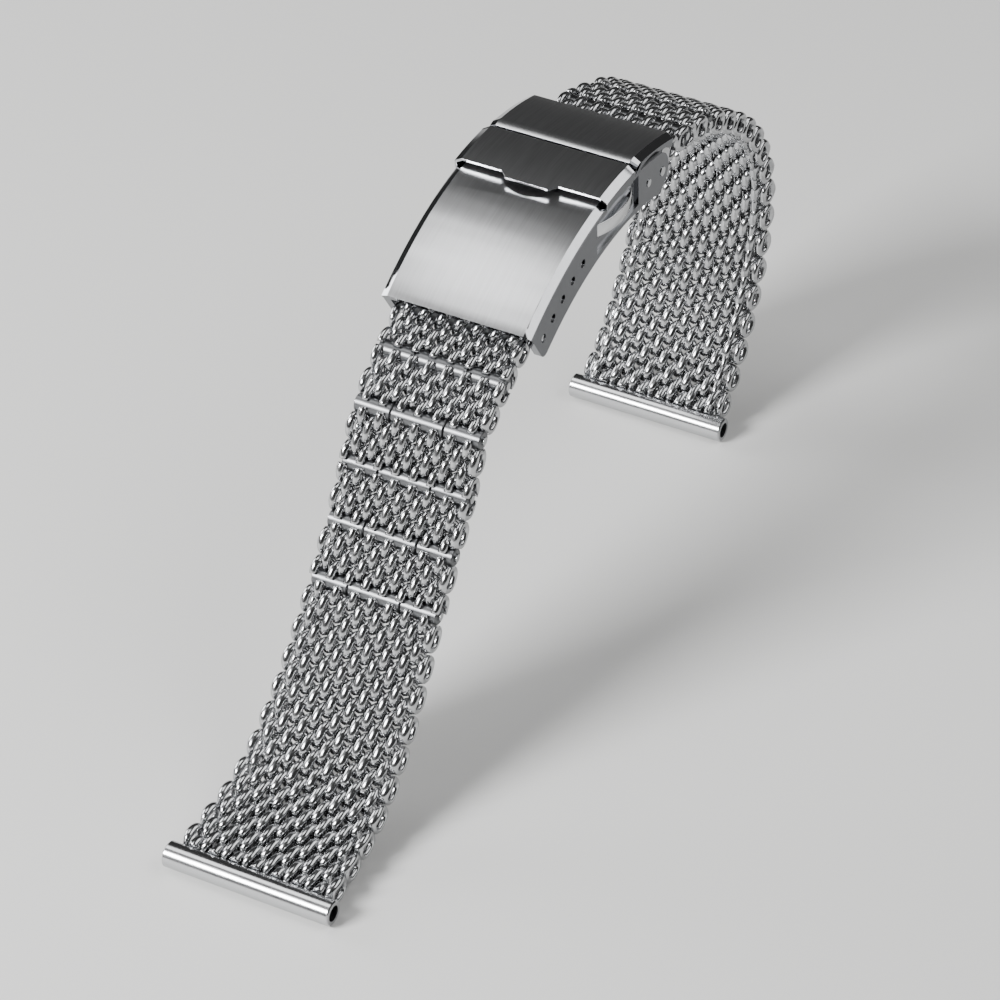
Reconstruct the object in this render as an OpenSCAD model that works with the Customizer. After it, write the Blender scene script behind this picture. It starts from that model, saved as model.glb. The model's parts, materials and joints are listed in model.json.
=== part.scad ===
// Steel mesh watch band: two runs of interlocked wire mesh joined by a folding clasp,
// standing as an open arch on the tubes of its two lug ends.
// X runs across the band, Y from the lower half to the upper half, Z is up.
// The origin is on the floor, in the middle of the band's footprint. Millimetres.

/* [Mesh] */
// Width of the links, and of the mesh where it meets them
link_width = 17.4; // [14:0.2:20]
// Width of the mesh where it meets a lug tube
mesh_lug_width = 20.6; // [18:0.2:21.4]
// Thickness of the mesh and of the links
mesh_thickness = 3.4; // [3:0.1:3.5]
// Distance from one row of wire to the next
row_pitch = 1.84; // [1.7:0.02:2]
// Radius on the back and front of each row
row_radius = 1.3; // [1.1:0.05:1.4]
// How far every other row stands back at the band's edges
edge_step = 0.4; // [0.1:0.1:0.8]
// Gap between the rows of two neighbouring stretches of mesh
stretch_gap = 0.4; // [0.3:0.05:0.6]

/* [Links] */
// Distance between the pins of a link
link_pitch = 7.1; // [6.8:0.1:7.8]
// Diameter of the knuckles that carry a link pin
knuckle_d = 2.9; // [2.6:0.1:3]
// Width of the middle knuckle of each link hinge
middle_knuckle = 7; // [5:0.5:9]
// Diameter of a link pin
link_pin_d = 1; // [0.8:0.1:1.2]

/* [Lug ends] */
// Length of the tube at each lug end
lug_width = 22; // [21.6:0.2:24]
// Outside diameter of the lug tube
tube_d = 3.2; // [3:0.1:3.6]
// Bore of the lug tube, which takes the watch's own spring bar
tube_bore = 2; // [1.6:0.1:2.2]
// Distance from the tube's axis to the first bend of the mesh
tube_tail = 2.4; // [2.2:0.1:3]

/* [Spring bars] */
// Diameter of the barrel of a spring bar
bar_d = 1.8; // [1.5:0.1:1.8]
// Diameter of the tips of a spring bar
tip_d = 0.9; // [0.7:0.1:1]
// How far a tip can be pushed into its barrel
tip_travel = 0.9; // [0.8:0.05:1]

/* [Clasp cover] */
// Radius of the curve of the cover's outer face
clasp_radius = 45; // [42:0.5:50]
// Thickness of the cover's sheet and walls
sheet = 1; // [0.8:0.1:1.1]
// Height of the cover's side walls, outer face to lower edge
wall_height = 6.3; // [6:0.1:7]
// Width of the polished bevel along each side of the clasp
bevel_width = 0.9; // [0.5:0.1:1.2]
// Drop of the polished bevel along each side of the clasp
bevel_drop = 0.55; // [0.3:0.05:0.7]
// Gap between a link and the inside of the cover's wall
side_gap = 0.2; // [0.15:0.05:0.4]
// Number of adjusting holes in each wall
hole_count = 5; // [3:1:5]
// Distance between the adjusting holes
hole_pitch = 2.75; // [2.5:0.05:2.9]
// Depth of the adjusting holes below the cover's outer face
hole_depth = 3.6; // [3.4:0.1:3.8]
// Distance from the cover's lower end to the first adjusting hole
hole_inset = 1.9; // [1.7:0.1:2.4]

/* [Safety flap] */
// Thickness of the flap
flap_thickness = 0.8; // [0.6:0.1:1]
// Length of the flap from its hinge to its free edge
flap_length = 7; // [6:0.5:8]
// Diameter of the flap's knuckle
flap_knuckle_d = 2.3; // [2.1:0.1:2.5]
// Diameter of the flap's pin
flap_pin_d = 0.8; // [0.7:0.1:0.9]
// Width of the finger tab on the flap's free edge
tab_width = 5.6; // [4:0.2:8]
// Reach of the finger tab beyond the flap's free edge
tab_reach = 1; // [0.6:0.1:1.6]

/* [End block] */
// Length of the block along the clasp
block_length = 10.4; // [9.4:0.2:11]
// Thickness of the block's curved plate
block_thickness = 1.6; // [1.4:0.1:1.7]
// Diameter of the rivets that hold the block
rivet_d = 1; // [0.8:0.1:1.2]

/* [Push buttons] */
// Length of a button along the clasp
button_length = 9.4; // [8:0.2:10]
// Thickness of a button
button_thickness = 1.8; // [1.5:0.1:1.9]
// How far the middle of a button stands out past its ends
button_bulge = 1.3; // [0.9:0.1:1.5]
// How far a button can be pressed
button_travel = 0.8; // [0.6:0.05:0.85]

/* [Folding blades] */
// Distance between the two hinges of the middle blade
blade_length = 18; // [17:0.5:18.5]
// Thickness of the middle blade
middle_blade_thickness = 1; // [0.8:0.1:1]
// Thickness of the lower blade
lower_blade_thickness = 1.1; // [0.9:0.1:1.2]
// Half the width of the middle blade
middle_blade_half = 4.4; // [3.8:0.1:4.5]
// Half the width of the lower blade
lower_blade_half = 7.1; // [6.9:0.1:7.2]
// Diameter of the blades' knuckles
fold_knuckle_d = 2.4; // [2.2:0.1:2.4]
// Diameter of the blades' pins
fold_pin_d = 1.2; // [1:0.1:1.3]

/* [Clearances] */
// Radial clearance of a pin or bar in a hole that turns on it
running_gap = 0.05; // [0.02:0.01:0.08]
// Radial clearance of a pin in the knuckles that hold it
press_gap = 0.01; // [0.01:0.005:0.02]
// Radial clearance of a spring bar's tip in its hole
tip_gap = 0.1; // [0.05:0.01:0.15]
// Gap between pieces that pass close by each other
clear = 0.15; // [0.1:0.01:0.2]
// Gap between pieces that are seated on each other
seat = 0.05; // [0.03:0.01:0.08]

/* [Hidden] */
$fn = 64;

steel = [0.78, 0.79, 0.8];
dark_steel = [0.62, 0.63, 0.65];
wire_steel = [0.7, 0.71, 0.73];

// The band's resting curve: how far each piece turns inwards, in degrees, on its way from the
// clasp to a lug end. A link turns at its pin, and mesh turns a little at each of its rows.
rows_in_stretch = 4;
front_start = 28.7;
front_link_bends = [0, 6.5, 28.5, -5.5, -3.5];
front_mesh_bends = [0, -8, -11, -27, -4];
rear_start = -9;
rear_link_bends = [0, 9];
rear_mesh_bends = [10, 13, 21, 25.5, 18, 8.5, 10, 17];
rear_mesh_turn = 4.5;

// Places along the clasp, as angles from its highest point, positive towards the upper half
cover_low = -33.5;
flap_hinge_angle = 1.5;
button_angle = -3;
rivet_angle = 8.5;
blade_hinge_angle = 13.8;
rear_bar_angle = 17.7;
rear_bar_depth = 2.64;
ear_angle = 12.2;
wall_tuck = 0.1;

degree = 180 / PI;
clasp_width = link_width + 2 * side_gap + 2 * sheet;
inner_half = clasp_width / 2 - sheet;
wall_bottom = clasp_radius - wall_height;
row_core = mesh_thickness / 2 - row_radius;
end_inset = row_radius + stretch_gap / 2;
knuckle_gap = 0.1;

// How far a cutting shape runs past what it cuts
past = 1;
// How far a shape's faces lie inside the shape that it is joined to
tuck = 0.1;
// How far the head of a riveted pin stands out of the clasp's side
rivet_proud = 0.1;

// Heights of the folding parts, as radii about the clasp's centre
blade_rise = 0.3;
fold_sink = 0.5;
lower_blade_bottom = wall_bottom + blade_rise;
lower_blade_top = lower_blade_bottom + lower_blade_thickness;
blade_hinge_radius = lower_blade_top + blade_rise + fold_knuckle_d / 2;
fold_hinge_radius = lower_blade_top + fold_knuckle_d / 2 - fold_sink;
middle_blade_top = blade_hinge_radius + fold_knuckle_d / 2;
fold_hinge_angle = blade_hinge_angle - blade_length / fold_hinge_radius * degree;
flap_hinge_radius = clasp_radius + seat * 2 + flap_thickness - flap_knuckle_d / 2;
top_radius = clasp_radius + seat * 2 + flap_thickness;
block_bottom = top_radius - block_thickness;
block_start = flap_hinge_angle + (flap_knuckle_d / 2 + clear * 2) / top_radius * degree;
block_end = block_start + block_length / top_radius * degree;
flap_free = flap_hinge_angle - flap_length / top_radius * degree;
first_hole = cover_low + hole_inset / clasp_radius * degree;
hole_radius = clasp_radius - hole_depth;
rear_bar_radius = clasp_radius - rear_bar_depth;
hole_step = hole_pitch / hole_radius * degree;

// A point at an angle and a radius on the clasp, as [Y, Z] about the clasp's centre
function clasp_point(angle, radius) = [radius * sin(angle), radius * cos(angle)];

// A point moved along a heading: side is 1 for the rear half and -1 for the front half
function step(p, side, distance, heading) =
    [p[0] + side * distance * cos(heading), p[1] + side * distance * sin(heading)];

// Start and heading of each row of a stretch of mesh that bends evenly
function rows(side, p, heading, bend, n) =
    [for (k = 0, q = p, a = heading - side * bend / n / 2; k < n;
        q = step(q, side, row_pitch, a), a = a - side * bend / n, k = k + 1) [q[0], q[1], a]];

function mesh_end(side, p, heading, bend, n) =
    let (last = rows(side, p, heading, bend, n)[n - 1]) step(last, side, row_pitch, last[2]);

// Walk from the clasp along a list of [turn at the start, bend along it, rows], no rows is a link
function walk(side, p, heading, moves, i = 0) =
    i == len(moves) ? [[p[0], p[1], heading]] :
    let (h = heading - side * moves[i][0], n = moves[i][2],
        q = n == 0 ? step(p, side, link_pitch, h) : mesh_end(side, p, h, moves[i][1], n))
    concat([[p[0], p[1], h]], walk(side, q, h - side * moves[i][1], moves, i + 1));

front_moves = concat([for (b = front_link_bends) [b, 0, 0]],
    [for (b = front_mesh_bends) [0, b, rows_in_stretch]]);
rear_moves = concat([for (b = rear_link_bends) [b, 0, 0]],
    [for (i = [0:len(rear_mesh_bends) - 1])
        [i == 0 ? rear_mesh_turn : 0, rear_mesh_bends[i], rows_in_stretch]]);

front_bar = clasp_point(first_hole, hole_radius);
front = walk(-1, front_bar, front_start, front_moves);
front_last = front[len(front) - 1];
front_tube = step(front_last, -1, tube_tail, front_last[2]);

// The rear half is swung about its spring bar until both lug tubes stand on the floor
rear_bar = clasp_point(rear_bar_angle, rear_bar_radius);
rear_trial = walk(1, rear_bar, rear_start, rear_moves);
trial_last = rear_trial[len(rear_trial) - 1];
trial_tube = step(trial_last, 1, tube_tail, trial_last[2]);
trial_arm = trial_tube - rear_bar;
rear_swing = asin((front_tube[1] - rear_bar[1]) / norm(trial_arm)) - atan2(trial_arm[1], trial_arm[0]);
rear = walk(1, rear_bar, rear_start + rear_swing, rear_moves);
rear_last = rear[len(rear) - 1];

// Every row of the rear half, to find how far back the band reaches
rear_rows = [for (i = [0:len(rear_mesh_bends) - 1])
    for (r = rows(1, rear[i + len(rear_link_bends)], rear[i + len(rear_link_bends)][2],
        rear_mesh_bends[i], rows_in_stretch)) r];
rear_reach = max([for (r = rear_rows)
    step(r, 1, row_pitch / 2, r[2])[0] + row_core * abs(sin(r[2])) + row_radius]);
front_reach = front_tube[0] - tube_d / 2;
centre = [-(front_reach + rear_reach) / 2, tube_d / 2 - front_tube[1]];

// A flat shape drawn in the Y and Z directions, given its width across the band
module across(width) {
    rotate([90, 0, 90]) translate([0, 0, -width / 2]) linear_extrude(width) children();
}

// A round bar or bore across the band
module bar(radius, width) {
    rotate([0, 90, 0]) cylinder(r = radius, h = width, center = true);
}

// A round bar or bore from one distance across the band to another
module bar_between(radius, low, high) {
    translate([(low + high) / 2, 0, 0]) bar(radius, high - low);
}

// Stand children on a joint of the band, with +Y away from the clasp and +Z outwards
module on_band(side, joint) {
    translate([0, joint[0] + centre[0], joint[1] + centre[1]]) rotate([joint[2], 0, 0])
        mirror([0, side < 0 ? 1 : 0, 0]) children();
}

// Stand children on a place of the clasp, with +Z outwards and +Y along the clasp
module on_clasp(angle, radius) {
    p = clasp_point(angle, radius);
    translate([0, p[0] + centre[0], p[1] + centre[1]]) rotate([-angle, 0, 0]) children();
}

// Sweep a flat shape along the clasp's curve: its x is the radius and its y is across the band
module clasp_sweep(from, to) {
    translate([0, centre[0], centre[1]]) rotate([90, 0, 90]) rotate([0, 0, 90 - to])
        rotate_extrude(angle = to - from, $fn = 180) children();
}

// A curved bar of the clasp between two radii and two distances across the band
module clasp_bar(from, to, inner, outer, low, high) {
    clasp_sweep(from, to) translate([inner, low]) square([outer - inner, high - low]);
}

// The same curved bar on both sides of the clasp, between two distances across the band
module side_bars(from, to, inner, outer, low, high) {
    clasp_bar(from, to, inner, outer, low, high);
    clasp_bar(from, to, inner, outer, -high, -low);
}

// Plate section with a bevel along each side
module bevel_plate(outer, thickness, width) {
    half = width / 2;
    polygon([[outer - thickness, -half], [outer - bevel_drop, -half], [outer, bevel_width - half],
        [outer, half - bevel_width], [outer - bevel_drop, half], [outer - thickness, half]]);
}

// One row of wire, seen from the side
module row_shape(at) {
    translate([at, 0]) {
        square([2 * row_radius, 2 * row_core], center = true);
        for (s = [-1, 1]) translate([0, s * row_core]) circle(row_radius);
    }
}

// Knuckles of one piece between two distances across the band, alike on both sides
module knuckles(from, to, radius) {
    if (from == 0) bar(radius, 2 * to);
    else for (s = [-1, 1]) bar_between(radius, s > 0 ? from : -to, s > 0 ? to : -from);
}

middle_half = (middle_knuckle - knuckle_gap) / 2;
outer_from = (middle_knuckle + knuckle_gap) / 2;
knuckle_out = link_width / 2 - knuckle_gap;
swing_radius = knuckle_d / 2 + clear;

// Width of row number n of a half that has total rows, every other row standing back
function row_width(n, total) =
    link_width + (mesh_lug_width - link_width) * (n + 0.5) / total - (n % 2) * 2 * edge_step;

// A stretch of mesh: rows side by side, the first and last held back from the bend
module mesh_stretch(side, joint, bend, first_row, total) {
    list = rows(side, joint, joint[2], bend, rows_in_stretch);
    last = rows_in_stretch - 1;
    for (k = [0:last]) {
        at = k == 0 ? end_inset : k == last ? row_pitch - end_inset : row_pitch / 2;
        on_band(side, list[k]) across(row_width(first_row + k, total)) row_shape(at);
    }
}

// A stretch of mesh that is pinned to the last link by outer knuckles
module pinned_stretch(side, joint, bend, total) {
    color(wire_steel) difference() {
        union() {
            mesh_stretch(side, joint, bend, 0, total);
            on_band(side, joint) knuckles(outer_from, knuckle_out, knuckle_d / 2);
        }
        on_band(side, joint) {
            bar(swing_radius, 2 * outer_from);
            bar(link_pin_d / 2 + press_gap, link_width + past);
        }
    }
}

// A link: three rows of wire between its knuckles
module link_solid(side, joint, near_from, near_to, near_bore) {
    wide = link_width + past;
    color(wire_steel) on_band(side, joint) difference() {
        union() {
            for (k = [-1:1]) across(link_width - (k == 0 ? 0 : edge_step))
                row_shape(link_pitch / 2 + k * (link_pitch / 2 - end_inset));
            knuckles(near_from, near_to, knuckle_d / 2);
            translate([0, link_pitch, 0]) knuckles(0, middle_half, knuckle_d / 2);
        }
        if (near_from > 0) bar(swing_radius, 2 * near_from);
        else knuckles(near_to, wide / 2, swing_radius);
        bar(near_bore, wide);
        translate([0, link_pitch, 0]) {
            knuckles(middle_half, wide / 2, swing_radius);
            bar(link_pin_d / 2 + running_gap, wide);
        }
    }
}

module front_link(i) {
    if (i == 0) link_solid(-1, front[0], 0, knuckle_out, bar_d / 2 + running_gap);
    else link_solid(-1, front[i], outer_from, knuckle_out, link_pin_d / 2 + press_gap);
}

// Width of the lower blade's knuckle on each side of the rear spring bar
rear_lug = 1.1;
rear_barrel_half = inner_half - rear_lug;
module rear_link(i) {
    if (i == 0) link_solid(1, rear[0], 0, rear_barrel_half, bar_d / 2 + running_gap);
    else link_solid(1, rear[i], outer_from, knuckle_out, link_pin_d / 2 + press_gap);
}

module link_pin(side, joint) {
    color(steel) on_band(side, joint) bar(link_pin_d / 2, 2 * knuckle_out - tuck);
}

front_total = len(front_mesh_bends) * rows_in_stretch;
rear_total = len(rear_mesh_bends) * rows_in_stretch;

module front_mesh(i) {
    joint = front[i + len(front_link_bends)];
    if (i == 0) pinned_stretch(-1, joint, front_mesh_bends[i], front_total);
    else color(wire_steel)
        mesh_stretch(-1, joint, front_mesh_bends[i], i * rows_in_stretch, front_total);
}

module rear_mesh(i) {
    joint = rear[i + len(rear_link_bends)];
    if (i == 0) pinned_stretch(1, joint, rear_mesh_bends[i], rear_total);
    else color(wire_steel)
        mesh_stretch(1, joint, rear_mesh_bends[i], i * rows_in_stretch, rear_total);
}

// Lug end: a tube for the watch's spring bar, with the last row of mesh fixed to it
module lug_end(side, joint) {
    color(steel) on_band(side, joint) difference() {
        union() {
            across(mesh_lug_width) row_shape(end_inset);
            translate([0, tube_tail, 0]) bar(tube_d / 2, lug_width);
        }
        translate([0, tube_tail, 0]) bar(tube_bore / 2, lug_width + past);
    }
}

// The cover's sheet ends just short of the flap's knuckle
top_end = flap_hinge_angle - (flap_knuckle_d / 2 + clear * 2) / clasp_radius * degree;
ear_bulge = 0.03;
ear_radius = (block_bottom - seat - wall_bottom) / 2 + ear_bulge;
ear_centre = (block_bottom - seat + wall_bottom) / 2;

// The flap's brackets: width, distance from the middle, wall round the pin and height of the arm
bracket_width = 1.4;
bracket_at = 3.6;
bracket_wall = 0.4;
bracket_top = 0.2;
bracket_radius = flap_pin_d / 2 + bracket_wall;

// Height of the lower blade's teeth, which the buttons' hooks catch, above the blade
tooth_height = 0.7;
tooth_bottom = lower_blade_top + tooth_height;
button_radius = (tooth_bottom + middle_blade_top + tuck) / 2;

// The recess round a button: depth, margin at the button's ends, margins above and below
recess = 0.35;
recess_end = 0.8;
recess_edge = 1;
recess_drop = 0.5;

// The nick under the finger tab, cut by a ball whose middle is a little way under the flap
nick_radius = 15;
nick_depth = 0.5;
nick_angle = flap_free + 1.4;

// Brackets that carry the flap's pin, standing on the end of the cover's sheet
module flap_brackets() {
    on_clasp(flap_hinge_angle, flap_hinge_radius)
        for (s = [-1, 1]) translate([s * bracket_at, 0, 0]) across(bracket_width) {
            circle(bracket_radius);
            translate([-flap_knuckle_d, -bracket_radius])
                square([flap_knuckle_d, bracket_radius + bracket_top]);
        }
}

module clasp_cover() {
    color(steel) difference() {
        union() {
            difference() {
                union() {
                    clasp_sweep(cover_low, top_end)
                        bevel_plate(clasp_radius, sheet, clasp_width - seat);
                    for (s = [-1, 1])
                        clasp_bar(cover_low + wall_tuck, ear_angle, wall_bottom, block_bottom - seat,
                            s > 0 ? inner_half : -clasp_width / 2, s > 0 ? clasp_width / 2 : -inner_half);
                    on_clasp(ear_angle, ear_centre) knuckles(inner_half, clasp_width / 2, ear_radius);
                }
                on_clasp(flap_hinge_angle, flap_hinge_radius)
                    bar(flap_knuckle_d / 2 + clear, clasp_width + past);
            }
            flap_brackets();
        }
        for (i = [0:hole_count - 1]) on_clasp(first_hole + i * hole_step, hole_radius)
            bar(tip_d / 2 + tip_gap, clasp_width + past);
        on_clasp(flap_hinge_angle, flap_hinge_radius) bar(flap_pin_d / 2 + running_gap, clasp_width);
        on_clasp(blade_hinge_angle, blade_hinge_radius)
            bar(fold_pin_d / 2 + press_gap, clasp_width + past);
        on_clasp(rivet_angle, hole_radius) bar(rivet_d / 2 + press_gap, clasp_width + past);
        on_clasp(button_angle, button_radius) {
            cube([clasp_width + past, button_length + 2 * running_gap,
                button_thickness + 2 * running_gap], center = true);
            for (s = [-1, 1]) translate([s * (clasp_width / 2 - recess + past / 2), 0, -recess_drop])
                cube([past, button_length + 2 * recess_end, wall_height - 2 * recess_edge],
                    center = true);
        }
        on_clasp(nick_angle, clasp_radius + nick_radius - nick_depth)
            sphere(nick_radius, $fn = 96);
    }
}

// The block's legs: thickness, gap to the lower blade, and how far they run along the clasp
leg_thickness = 1.2;
leg_gap = 0.4;
leg_back = 2.6;
leg_front = 2;

// The lens-shaped recess in each side of the block: radius, height and depth
lens_radius = 9.4;
lens_height = 0.8;
lens_depth = 0.4;

// End block: a curved plate over the end of the walls, riveted between them by two legs
module end_block() {
    leg_out = inner_half - seat * 2;
    leg_in = leg_out - leg_thickness;
    color(steel) difference() {
        union() {
            clasp_sweep(block_start, block_end) bevel_plate(top_radius, block_thickness, clasp_width);
            for (s = [-1, 1])
                clasp_bar(rivet_angle - leg_back, rivet_angle + leg_front, lower_blade_top + leg_gap,
                    block_bottom + tuck, s > 0 ? leg_in : -leg_out, s > 0 ? leg_out : -leg_in);
        }
        on_clasp(rivet_angle, hole_radius) bar(rivet_d / 2 + press_gap, clasp_width + past);
        on_clasp((block_start + block_end) / 2, block_bottom + lens_height - lens_radius)
            for (s = [-1, 1]) translate([s * clasp_width / 2, 0, 0]) bar(lens_radius, 2 * lens_depth);
    }
}

module block_rivet(s) {
    color(dark_steel) on_clasp(rivet_angle, hole_radius) mirror([s < 0 ? 1 : 0, 0, 0])
        bar_between(rivet_d / 2, inner_half - leg_thickness + tuck, clasp_width / 2 + rivet_proud);
}

module blade_pin() {
    color(dark_steel) on_clasp(blade_hinge_angle, blade_hinge_radius)
        bar(fold_pin_d / 2, clasp_width + 2 * rivet_proud);
}

// Run of the finger tab's sloping ends, as a share of its reach
tab_slope = 1;

// Plan of the flap: straight sides and a finger tab with sloping ends in the middle
module flap_plan() {
    foot = tab_width / 2 + tab_slope * tab_reach;
    translate([-clasp_width / 2, -flap_length]) square([clasp_width, flap_length + past]);
    polygon([[-foot, tuck - flap_length], [-foot, -flap_length], [-tab_width / 2, -flap_length - tab_reach],
        [tab_width / 2, -flap_length - tab_reach], [foot, -flap_length], [foot, tuck - flap_length]]);
}

module safety_flap() {
    kr = flap_knuckle_d / 2;
    color(steel) difference() {
        union() {
            intersection() {
                clasp_sweep(flap_free - 2 * tab_reach / top_radius * degree, flap_hinge_angle)
                    bevel_plate(top_radius, flap_thickness, clasp_width);
                on_clasp(flap_hinge_angle, flap_hinge_radius) rotate([flap_hinge_angle, 0, 0])
                    translate([0, 0, -flap_length / 2]) linear_extrude(flap_length) flap_plan();
            }
            on_clasp(flap_hinge_angle, flap_hinge_radius) bar(kr, clasp_width);
        }
        on_clasp(flap_hinge_angle, flap_hinge_radius) {
            bar(flap_pin_d / 2 + press_gap, clasp_width + past);
            for (s = [-1, 1]) translate([s * bracket_at, 0, 0]) across(bracket_width + 2 * clear) {
                circle(bracket_radius + running_gap);
                translate([-2 * kr, -2 * kr]) square([4 * kr, 2 * kr]);
                translate([-3 * kr, -2 * kr]) square([3 * kr, 2 * kr + bracket_top + tuck]);
            }
        }
    }
}

module flap_pin() {
    color(dark_steel) on_clasp(flap_hinge_angle, flap_hinge_radius)
        bar(flap_pin_d / 2, clasp_width - 4 * tuck);
}

// A button's flange behind the wall: thickness, and reach past each end of the window
flange = 0.75;
flange_reach = 0.6;
flange_in = inner_half - seat - flange;
button_proud = 0.8;

// A button's stem and the hook that hangs from it
stem_half = 1;
stem_rise = 1.35;
hook_thickness = 0.5;
hook_height = 0.45;
hook_gap = 0.2;
hook_in = middle_blade_half + button_travel + hook_gap;

// The catch on each side of the lower blade: an upright lug with a tooth at its top
lug_gap = 0.25;
lug_thickness = 0.45;
tooth_reach = 0.35;
tooth_thickness = 0.3;
lug_out = flange_in - button_travel - lug_gap;
lug_in = lug_out - lug_thickness;
tooth_in = lug_in - tooth_reach;

// A push button: curved thumb piece, flange behind the wall, and a stem with a hook
module button(s) {
    out = clasp_width / 2 + button_proud;
    arc = (pow(button_length / 2, 2) + pow(button_bulge, 2)) / (2 * button_bulge);
    stem_bottom = lower_blade_top + stem_rise - button_radius;
    stem_top = button_thickness / 2;
    hook_bottom = lower_blade_top + hook_gap - button_radius;
    post_top = clasp_radius - sheet - clear - button_radius;
    color(dark_steel) mirror([s < 0 ? 1 : 0, 0, 0]) on_clasp(button_angle, button_radius) {
        translate([0, 0, -button_thickness / 2]) linear_extrude(button_thickness) {
            intersection() {
                translate([out - arc, 0]) circle(arc, $fn = 180);
                translate([flange_in, -button_length / 2]) square([out, button_length]);
            }
            translate([flange_in, -button_length / 2 - flange_reach])
                square([flange, button_length + 2 * flange_reach]);
        }
        translate([hook_in, -stem_half, stem_bottom])
            cube([flange_in - hook_in + tuck, 2 * stem_half, stem_top - stem_bottom]);
        translate([hook_in, -stem_half, hook_bottom])
            cube([hook_thickness, 2 * stem_half, stem_top - hook_bottom]);
        translate([hook_in, -stem_half, hook_bottom])
            cube([tooth_in - clear - hook_in, 2 * stem_half, hook_height]);
        translate([hook_in, -stem_half / 2, 0]) cube([hook_thickness, stem_half, post_top]);
    }
}

// Radius and bore radius of the spring between the two buttons
button_spring_radius = 0.45;
button_spring_bore = 0.25;

module button_spring() {
    color(dark_steel) on_clasp(button_angle, clasp_radius - sheet - clear - button_spring_radius)
        difference() {
            bar(button_spring_radius, 2 * (hook_in - button_travel - seat));
            bar(button_spring_bore, 2 * hook_in);
        }
}

// The fold: half the width of its middle knuckle, and the tongue that joins it to the middle blade
fold_setback = 1.2;
fold_middle = middle_blade_half - fold_setback;
tongue = 2.6;
tongue_dip = 0.06;
blade_end = 2.2;

module middle_blade() {
    kr = fold_knuckle_d / 2;
    color(steel) difference() {
        union() {
            clasp_bar(fold_hinge_angle + blade_end, blade_hinge_angle,
                middle_blade_top - middle_blade_thickness, middle_blade_top,
                -middle_blade_half, middle_blade_half);
            on_clasp(blade_hinge_angle, blade_hinge_radius) bar(kr, 2 * lower_blade_half);
            on_clasp(fold_hinge_angle, fold_hinge_radius) {
                bar(kr, 2 * fold_middle);
                across(2 * fold_middle) square([tongue, middle_blade_top - fold_hinge_radius - tongue_dip]);
            }
        }
        on_clasp(blade_hinge_angle, blade_hinge_radius) bar(fold_pin_d / 2 + running_gap, clasp_width);
        on_clasp(fold_hinge_angle, fold_hinge_radius) bar(fold_pin_d / 2 + running_gap, clasp_width);
    }
}

// The lower blade: how far its knuckles and arms lie inside its edges, and its arms' outer sides
knuckle_inset = 0.4;
arm_inset = 0.5;
arm_out = inner_half - clear - seat;
lug_root = 0.4;
lug_head = 0.5;
lug_top = tooth_bottom + lug_head;
wing_spread = 1.3;
lug_spread = 1.4;
tooth_spread = 1.2;
plate_end = blade_hinge_angle + 1.2;
arm_start = rivet_angle + 2.2;
upright_start = blade_hinge_angle + 1.5;
upright_end = rear_bar_angle - 0.2;

module lower_blade() {
    kr = fold_knuckle_d / 2;
    color(steel) difference() {
        union() {
            difference() {
                union() {
                    clasp_bar(fold_hinge_angle, plate_end, lower_blade_bottom, lower_blade_top,
                        -lower_blade_half, lower_blade_half);
                    on_clasp(fold_hinge_angle, fold_hinge_radius)
                        knuckles(fold_middle + knuckle_gap, lower_blade_half - knuckle_inset, kr);
                }
                on_clasp(fold_hinge_angle, fold_hinge_radius)
                    bar(kr + clear, 2 * (fold_middle + knuckle_gap));
            }
            // Wings that carry the lugs, the lugs, their teeth, the arms and the arms' upright ends
            side_bars(button_angle - wing_spread, button_angle + wing_spread,
                lower_blade_bottom + tuck, lower_blade_top - tuck, middle_blade_half, lug_out - seat);
            side_bars(button_angle - lug_spread, button_angle + lug_spread,
                lower_blade_top - lug_root, lug_top, lug_in, lug_out);
            side_bars(button_angle - tooth_spread, button_angle + tooth_spread,
                tooth_bottom + tuck, tooth_bottom + tuck + tooth_thickness, tooth_in, lug_in + 2 * tuck);
            side_bars(arm_start, rear_bar_angle, lower_blade_bottom + tuck, lower_blade_top - tuck,
                lower_blade_half - arm_inset, arm_out);
            side_bars(upright_start, upright_end, lower_blade_bottom + 3 * tuck,
                rear_bar_radius - 3 * tuck, rear_barrel_half + tuck, arm_out);
            on_clasp(rear_bar_angle, rear_bar_radius)
                knuckles(rear_barrel_half + tuck, arm_out, knuckle_d / 2);
        }
        on_clasp(rear_bar_angle, rear_bar_radius) bar(tip_d / 2 + tip_gap, clasp_width);
        on_clasp(fold_hinge_angle, fold_hinge_radius) bar(fold_pin_d / 2 + press_gap, clasp_width);
    }
}

module fold_pin() {
    color(dark_steel) on_clasp(fold_hinge_angle, fold_hinge_radius)
        bar(fold_pin_d / 2, 2 * (lower_blade_half - knuckle_inset - tuck));
}

// A spring bar's inside: lengths of a tip's shoulder, of its part inside the barrel and of the
// thin guide inside the spring, how far the guide overlaps the tip, and the guide's and bore's radii
shoulder = 0.25;
tip_inside = 2.5;
guide_length = 2;
guide_overlap = 0.5;
guide_radius = 0.2;
spring_bore = 0.25;

// Half the barrel's and the spring's length, given the inside face of the lug that a tip enters
function barrel_half(lug_face) = lug_face - tip_travel - shoulder - tuck;
function spring_half(lug_face) = barrel_half(lug_face) - tip_inside - tuck - tip_travel;

module bar_barrel(angle, radius, lug_face) {
    color(steel) on_clasp(angle, radius) difference() {
        bar(bar_d / 2, 2 * barrel_half(lug_face));
        bar(tip_d / 2 + running_gap, 2 * lug_face);
    }
}

module bar_spring(angle, radius, lug_face) {
    color(dark_steel) on_clasp(angle, radius) difference() {
        bar(tip_d / 2, 2 * spring_half(lug_face));
        bar(spring_bore, 2 * lug_face);
    }
}

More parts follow.
